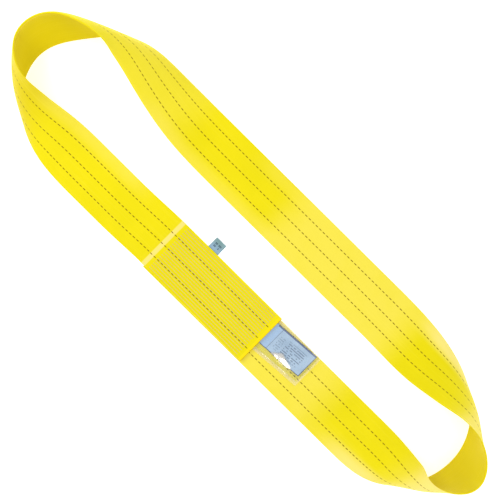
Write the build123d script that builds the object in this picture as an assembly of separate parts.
"""Endless flat webbing sling lying on a floor.  Millimetres, +Z up.

One strip of webbing is joined to itself by a sewn lap.  Its two runs lie flat, and at each end the
strip twists up on to its outer edge to make the turn.
Origin: on the floor, under the middle of the sling's bounding box.
+X runs along the sling, and the lapped run lies on the -Y side.
"""
from build123d import *
import math
import os
from collections import namedtuple

import numpy as np

# ---- driving dimensions ----------------------------------------------------------------------
webbing_width = 90.0
webbing_thickness = 3.0
turn_distance = 882.2        # between the two turns, where their lower edges touch the floor
run_gap = 71.0               # between the inner edges of the two flat runs

lap_length = 206.5           # the stretch that is sewn double
lap_middle = 1.0             # its middle along X, from the point half way between the turns
lap_drift = 2.5              # the upper ply is sewn down this far towards the loop's inside
drift_lead = 110.0           # it starts to drift this far before the lap
drift_length = 130.0
ply_gap = 0.6                # between the plies, where the tag's root is
ramp_length = 14.0           # the upper ply climbs over the cut end in this length
ramp_lead = 1.5              # the climb ends this far before the cut end
label_gap = 1.2              # between the plies, where the label's and sleeve's roots are
label_gap_length = 16.0
label_gap_rise = 8.0         # the upper ply climbs to the wider gap in this length
settle_length = 24.0         # past the lap, the lower ply comes down to the floor in this length

thread_height = 0.4          # how far a row of stitches holds the webbing off what is beside it
seat_gap = 0.02              # between a row of stitches and the webbing
thread_width = 1.3
row_pitch = 4.5
row_edge_margin = 4.5        # least distance from the webbing's edge to a row
row_start_inset = 7.0        # from the lap's hidden end to the rows
row_finish_inset = 6.8       # from the lap's free end to the rows

label_length = 76.0          # the part that shows past the fold
label_width = 41.5
label_thickness = 0.5
label_offset = 18.0          # its root's middle, from the webbing's centre line
sleeve_length = 83.0
sleeve_width = 62.0
sleeve_offset = 14.2
film_thickness = 0.25
film_gap = 0.05              # between each film and the label
sleeve_weld = 3.0            # width of the welded rim along each side of the sleeve
flap_skew = 4.0              # degrees that label and sleeve lean towards the loop's inside
label_anchor_depth = 14.0    # sewn in under the upper ply
label_fold_out = 2.5         # the label folds along a line this far past the lap's end
label_fold_gap = 1.8         # kept clear across that line

tag_width = 20.0
tag_reach = 19.0             # beyond the webbing's inner edge
tag_thickness = 0.4
tag_offset = -44.3           # its middle along X, from the lap's middle
tag_anchor_depth = 12.0
tag_fold_out = 2.0
tag_fold_gap = 1.0

# ---- how the strip turns -----------------------------------------------------------------------
# A turn has two halves, one to each run.  Distances are in webbing widths and angles in degrees.
# early, middle, late: how the bending is spread along the half, as sine terms on an even bend
# reach, flat_at, fall: the roll falls as exp(-(s/reach)^fall) and is gone at flat_at
# bulge, bulge_low: outward bow of the standing wall, and how far it sits towards the lower edge
# skew: how far the wall's upright lines lean along the strip
Half = namedtuple("Half", "early middle late reach flat_at fall bulge bulge_low skew")
# shift: the turn's tip across the sling.  lean: the tip's outward lean past upright
# lean_change: extra lean per width towards +Y, which dies away over lean_change_reach
# tip_bulge: outward bow at the tip, which dies away over tip_bulge_reach
Turn = namedtuple(
    "Turn",
    "side shift lean lean_change lean_change_reach tip_bulge tip_bulge_reach low_half high_half",
)

turn_plus_x = Turn(
    side=1, shift=-0.056, lean=22.0, lean_change=2.8, lean_change_reach=1.04,
    tip_bulge=0.012, tip_bulge_reach=0.74,
    low_half=Half(0.136, -0.07, 0.018, 1.262, 2.579, 1.582, 0.329, -0.297, -44.8),
    high_half=Half(0.265, 0.012, 0.01, 1.734, 3.296, 1.4, 0.181, 0.25, -16.3),
)
turn_minus_x = Turn(
    side=-1, shift=-0.097, lean=17.7, lean_change=34.4, lean_change_reach=0.9,
    tip_bulge=0.17, tip_bulge_reach=0.95,
    low_half=Half(0.239, -0.008, 0.022, 1.521, 2.894, 1.636, 0.18, 0.267, -30.4),
    high_half=Half(0.035, 0.056, 0.08, 2.39, 4.961, 1.552, 0.161, -0.185, -29.1),
)

stations_per_half = 30
points_across = 7
integration_steps = 400
run_end_step = 5.0           # the far run's flat faces start this far past the turns

# ---- sizes worked out from these ---------------------------------------------------------------
outer_half_width = run_gap / 2 + webbing_width
run_centre = run_gap / 2 + webbing_width / 2
lap_start = lap_middle - lap_length / 2
lap_end = lap_middle + lap_length / 2
lower_ply_z = thread_height
upper_ply_z = lower_ply_z + webbing_thickness + ply_gap
label_ply_z = lower_ply_z + webbing_thickness + label_gap


def ease(u):
    """Smooth step from 0 to 1 with no slope at either end."""
    u = np.clip(u, 0.0, 1.0)
    return u - np.sin(2 * np.pi * u) / (2 * np.pi)


# ---- the strip's sections ----------------------------------------------------------------------
def half_turn(turn, half, sign):
    """Both faces of the strip from a turn's tip to its run, as arrays [station, point, xyz].

    The lower edge is a plan curve that turns through 90 degrees.  From each of its points the
    section rises at the roll angle, inwards over the loop, and is bowed outwards by the bulge.
    """
    t = np.linspace(0.0, 1.0, integration_steps + 1)
    even = np.pi * t
    heading = np.pi / 2 * (
        t + half.early * np.sin(even) + half.middle * np.sin(2 * even) + half.late * np.sin(3 * even)
    )
    across = np.concatenate([[0], np.cumsum(np.cos(heading[1:]) + np.cos(heading[:-1]))])
    along = np.concatenate([[0], np.cumsum(np.sin(heading[1:]) + np.sin(heading[:-1]))])
    across = across / (2 * integration_steps)
    along = along / (2 * integration_steps)
    tip_y = turn.shift * webbing_width
    bend_length = (outer_half_width - sign * tip_y) / across[-1]
    flat_at = half.flat_at * webbing_width
    s = np.linspace(0.0, max(bend_length, flat_at), stations_per_half)

    bent = np.clip(s / bend_length, 0.0, 1.0)
    edge_x = np.interp(bent, t, along) * bend_length + np.maximum(s - bend_length, 0.0)
    edge_y = np.interp(bent, t, across) * bend_length
    angle = np.interp(bent, t, heading)
    edge = np.stack([turn.side * (turn_distance / 2 - edge_x), tip_y + sign * edge_y, 0 * s], -1)
    forward = np.stack([-turn.side * np.sin(angle), sign * np.cos(angle), 0 * s], -1)
    inward = np.stack([-turn.side * np.cos(angle), -sign * np.sin(angle), 0 * s], -1)
    up = np.array([0.0, 0.0, 1.0])

    widths = s / webbing_width
    fading = widths * np.exp(-((widths / turn.lean_change_reach) ** 2))
    tip_roll = 90.0 + turn.lean + sign * turn.lean_change * fading
    last_part = ease(2 * widths / half.flat_at - 1)
    roll = np.radians(tip_roll) * np.exp(-((widths / half.reach) ** half.fall)) * (1 - last_part)
    skew = math.radians(half.skew) * np.sin(2 * np.clip(roll, 0.0, np.pi / 2))
    at_tip = np.exp(-((widths / turn.tip_bulge_reach) ** 2))
    bulge = turn.tip_bulge * at_tip + half.bulge * (1 - at_tip) * np.sin(roll) ** 2
    chord = webbing_width * (1 - 8 / 3 * bulge**2)

    level = inward * np.cos(skew)[:, None] + forward * np.sin(skew)[:, None]
    rise = level * np.cos(roll)[:, None] + up * np.sin(roll)[:, None]
    outward = up * np.cos(roll)[:, None] - inward * np.sin(roll)[:, None]
    w = np.linspace(0.0, 1.0, points_across)
    bow = 4 * w * (1 - w) * (1 + half.bulge_low * (1 - 2 * w))
    bow_slope = 4 * (1 - 2 * w) * (1 + half.bulge_low * (1 - 2 * w)) - 8 * half.bulge_low * w * (1 - w)
    middle = (
        edge[:, None]
        + rise[:, None] * (chord[:, None] * w)[..., None]
        + outward[:, None] * (webbing_width * bulge[:, None] * bow)[..., None]
    )
    slope = webbing_width * bulge[:, None] * bow_slope / chord[:, None]
    normal = outward[:, None] - rise[:, None] * slope[..., None]
    normal = normal / np.linalg.norm(normal, axis=-1, keepdims=True)
    inner_face = middle - normal * webbing_thickness / 2
    outer_face = middle + normal * webbing_thickness / 2
    lowest = np.minimum(inner_face[..., 2].min(1), outer_face[..., 2].min(1))
    inner_face[..., 2] -= lowest[:, None]
    outer_face[..., 2] -= lowest[:, None]
    return inner_face, outer_face


def flat_stretch(x_values, sign, height, drift):
    """Both faces of a flat run at the given X positions, its underside at height(x).

    drift(x) moves the whole section towards +Y.
    """
    x = np.asarray(x_values, float)
    w = np.linspace(0.0, 1.0, points_across)
    y = sign * (outer_half_width - webbing_width * w)
    grid = np.zeros((len(x), points_across, 3))
    grid[..., 0] = x[:, None]
    grid[..., 1] = y + drift(x)[:, None]
    grid[..., 2] = height(x)[:, None]
    top = grid + np.array([0.0, 0.0, webbing_thickness])
    return grid, top


def on_floor(x):
    """Underside of a run that lies on the floor."""
    return 0 * x


def straight(x):
    """No drift."""
    return 0 * x


def upper_drift(x):
    """How far the upper ply has moved towards the loop's inside."""
    return lap_drift * ease((x - lap_start + drift_lead) / drift_length)


def lower_ply(x):
    """Underside of the lower ply: raised by the stitches under the lap, then back on the floor."""
    return lower_ply_z * (1 - ease((x - lap_end) / settle_length))


def upper_ply(x):
    """Underside of the upper ply: up over the cut end, level, then up again over the label."""
    over_cut = ease((x - lap_start + ramp_lead + ramp_length) / ramp_length)
    over_label = ease((x - lap_end + label_gap_length + label_gap_rise) / label_gap_rise)
    return upper_ply_z * over_cut + (label_ply_z - upper_ply_z) * over_label


def stepped(start, finish, count):
    """Evenly spaced positions, both ends included."""
    return list(np.linspace(start, finish, count))


def upper_ply_stations():
    """X positions along the upper ply, close together where it drifts and where it climbs."""
    ramp_end = lap_start - ramp_lead
    drift_start = lap_start - drift_lead
    drift_end = drift_start + drift_length
    rise_end = lap_end - label_gap_length
    return (
        stepped(drift_start, ramp_end - ramp_length, 9)[:-1]
        + stepped(ramp_end - ramp_length, ramp_end, 7)
        + stepped(ramp_end, drift_end, 4)[1:]
        + stepped(rise_end - label_gap_rise, rise_end, 5)
        + [lap_end]
    )


def strip_faces():
    """Both faces of the whole strip, from the cut end under the lap round to the free end.

    The far run is the flat stretch between the +Y halves of the two turns.
    """
    plus_low = half_turn(turn_plus_x, turn_plus_x.low_half, -1)
    plus_high = half_turn(turn_plus_x, turn_plus_x.high_half, 1)
    minus_low = half_turn(turn_minus_x, turn_minus_x.low_half, -1)
    minus_high = half_turn(turn_minus_x, turn_minus_x.high_half, 1)
    far_run_ends = [plus_high[0][-1, 0, 0] - run_end_step, minus_high[0][-1, 0, 0] + run_end_step]
    far_run = flat_stretch(far_run_ends, 1, on_floor, straight)
    lower_x = [lap_start] + stepped(lap_end, lap_end + settle_length, 5)
    lower = flat_stretch(lower_x, -1, lower_ply, straight)
    upper = flat_stretch(upper_ply_stations(), -1, upper_ply, upper_drift)
    faces = []
    for k in (0, 1):
        faces.append(
            np.concatenate(
                [
                    lower[k],
                    plus_low[k][::-1],
                    plus_high[k][1:],
                    far_run[k],
                    minus_high[k][::-1],
                    minus_low[k][1:],
                    upper[k],
                ]
            )
        )
    return faces


inner_face, outer_face = strip_faces()
box_low = np.minimum(inner_face.min((0, 1)), outer_face.min((0, 1)))
box_high = np.maximum(inner_face.max((0, 1)), outer_face.max((0, 1)))
to_origin = Vector(-(box_low[0] + box_high[0]) / 2, -(box_low[1] + box_high[1]) / 2, 0)


# ---- pieces ------------------------------------------------------------------------------------
def make_webbing():
    """The strip as one solid, ruled through its sections."""
    sections = []
    for lower_side, upper_side in zip(inner_face, outer_face):
        outline = np.concatenate([lower_side, upper_side[::-1]])
        sections.append(Wire.make_polygon([Vector(*point) for point in outline], close=True))
    return Solid.make_loft(sections, ruled=True)


def prism(points, reach):
    """A polygon, as a list of 3-D points, carried along the vector reach."""
    outline = Wire.make_polygon([Vector(*point) for point in points], close=True)
    return Solid.extrude(Face(outline), Vector(*reach))


def row_positions():
    """Y of each row of stitches, centred on the upper ply."""
    count = int((webbing_width - 2 * row_edge_margin) / row_pitch) + 1
    first = lap_drift - run_centre - row_pitch * (count - 1) / 2
    return [first + row_pitch * k for k in range(count)]


def make_rows(underside):
    """One strip of thread per row of stitches, its underside at underside(x)."""
    start = lap_start + row_start_inset
    finish = lap_end - row_finish_inset
    rise_end = lap_end - label_gap_length
    x = np.array([start] + stepped(rise_end - label_gap_rise, rise_end, 5) + [finish])
    z = underside(x)
    top = z + thread_height - seat_gap
    profile = list(zip(x, z)) + list(zip(x[::-1], top[::-1]))
    rows = []
    for y in row_positions():
        side = [(px, y - thread_width / 2, pz) for px, pz in profile]
        rows.append(prism(side, (0, thread_width, 0)))
    return rows


def on_upper_ply(x):
    """Underside of the stitches that show, just clear of the upper ply."""
    return upper_ply(x) + webbing_thickness + seat_gap


def flap_outline(start, finish, middle, width, z):
    """Four corners of a flap that leaves the lap's end with its sides leaning by flap_skew."""
    drift = math.tan(math.radians(flap_skew))
    corners = []
    for x, side in ((start, -1), (finish, -1), (finish, 1), (start, 1)):
        corners.append((x, middle + (x - label_fold_x) * drift + side * width / 2, z))
    return corners


label_fold_x = lap_end + label_fold_out
label_fold_z = lower_ply_z + webbing_thickness + label_gap / 2
flap_start = label_fold_x + label_fold_gap / 2
anchor_start = lap_end - label_anchor_depth
anchor_finish = label_fold_x - label_fold_gap / 2
cavity_height = label_thickness + 2 * film_gap
sleeve_height = cavity_height + 2 * film_thickness


def make_label(start, finish):
    outline = flap_outline(
        start, finish, label_offset - run_centre, label_width, label_fold_z - label_thickness / 2
    )
    return prism(outline, (0, 0, label_thickness))


def make_sleeve(start, finish):
    """Two films welded along their sides, open at both ends, with the label between them."""
    middle = sleeve_offset - run_centre
    outside = flap_outline(start, finish, middle, sleeve_width, label_fold_z - sleeve_height / 2)
    room = flap_outline(
        start - 1, finish + 1, middle, sleeve_width - 2 * sleeve_weld, label_fold_z - cavity_height / 2
    )
    return prism(outside, (0, 0, sleeve_height)) - prism(room, (0, 0, cavity_height))


inner_edge_y = lap_drift - run_gap / 2
tag_x = lap_middle + tag_offset
tag_fold_y = inner_edge_y + tag_fold_out
tag_z = lower_ply_z + webbing_thickness + ply_gap / 2


def make_tag(start, finish):
    """A flat tape across the webbing's inner edge, from start to finish in Y."""
    low_x = tag_x - tag_width / 2
    high_x = tag_x + tag_width / 2
    z = tag_z - tag_thickness / 2
    outline = [(low_x, start, z), (high_x, start, z), (high_x, finish, z), (low_x, finish, z)]
    return prism(outline, (0, 0, tag_thickness))


pieces = {
    "webbing": [make_webbing()],
    "needle_thread": make_rows(on_upper_ply),
    "bobbin_thread": make_rows(on_floor),
    "label_root": [make_label(anchor_start, anchor_finish)],
    "label": [make_label(flap_start, label_fold_x + label_length)],
    "sleeve_root": [make_sleeve(anchor_start, anchor_finish)],
    "sleeve": [make_sleeve(flap_start, label_fold_x + sleeve_length)],
    "tag_root": [make_tag(inner_edge_y - tag_anchor_depth, tag_fold_y - tag_fold_gap / 2)],
    "tag": [make_tag(tag_fold_y + tag_fold_gap / 2, inner_edge_y + tag_reach)],
}

os.makedirs("parts", exist_ok=True)
for name, solids in pieces.items():
    shape = solids[0] if len(solids) == 1 else Compound(children=solids)
    export_step(shape.translate(to_origin), os.path.join("parts", name + ".step"))

step_lengths = np.linalg.norm(np.diff((inner_face + outer_face) / 2, axis=0), axis=-1)
print("cut length, lower edge, centre, upper edge:", step_lengths.sum(0)[[0, 3, -1]].round(1))
print("moved to the origin by", to_origin)
print("label folds at", Vector(label_fold_x, 0, label_fold_z) + to_origin)
print("tag folds at", Vector(tag_x, tag_fold_y, tag_z) + to_origin)
print("box", (box_high - box_low).round(1))
